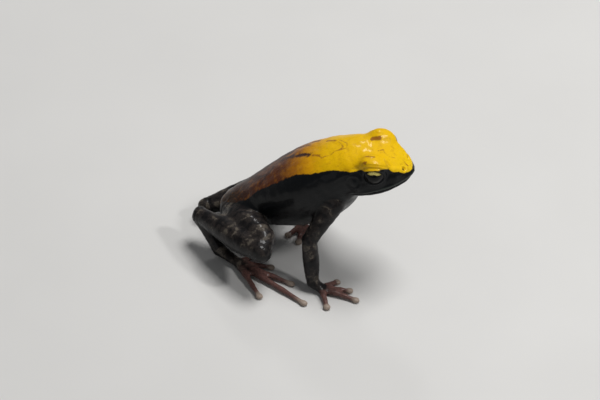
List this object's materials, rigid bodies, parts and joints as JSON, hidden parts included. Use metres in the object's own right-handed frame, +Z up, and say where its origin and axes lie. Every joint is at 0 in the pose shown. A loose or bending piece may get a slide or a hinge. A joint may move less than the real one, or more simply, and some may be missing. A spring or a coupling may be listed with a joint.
{
  "type": "brown mantella frog",
  "caption": "Life-size still model of a small ground frog sitting propped on straight arms, with golden head and back, rust rump and dark sides.",
  "frame": {"origin": "the middle of the bounding box at floor level, under the belly", "axes": "+X forward along the frog, from vent to snout; +Z up; the frog's right side is at -Y"},
  "size_m": [0.0246, 0.02, 0.017],
  "materials": {
    "golden_skin": "wet glossy amphibian skin, golden yellow above, black at the sides",
    "rust_skin": "wet glossy amphibian skin, orange to rust brown above, black at the sides",
    "dark_skin": "wet amphibian skin, dark brown mottled with tan and crossed by black bars",
    "digit_skin": "wet thin skin, reddish brown with paler tips",
    "eye": "wet, glassy and black with a gold line at the top of the iris"
  },
  "bodies": {
    "root": {"head": "golden_skin", "torso": "rust_skin", "eye_right": "eye", "upper_arm_right": "dark_skin", "forearm_right": "dark_skin", "hand_right": "digit_skin", "eye_left": "eye", "upper_arm_left": "dark_skin", "forearm_left": "dark_skin", "hand_left": "digit_skin", "thigh_right": "dark_skin", "shank_right": "dark_skin", "tarsus_right": "dark_skin", "foot_right": "digit_skin", "thigh_left": "dark_skin", "shank_left": "dark_skin", "tarsus_left": "dark_skin", "foot_left": "digit_skin"}
  },
  "joints": []
}
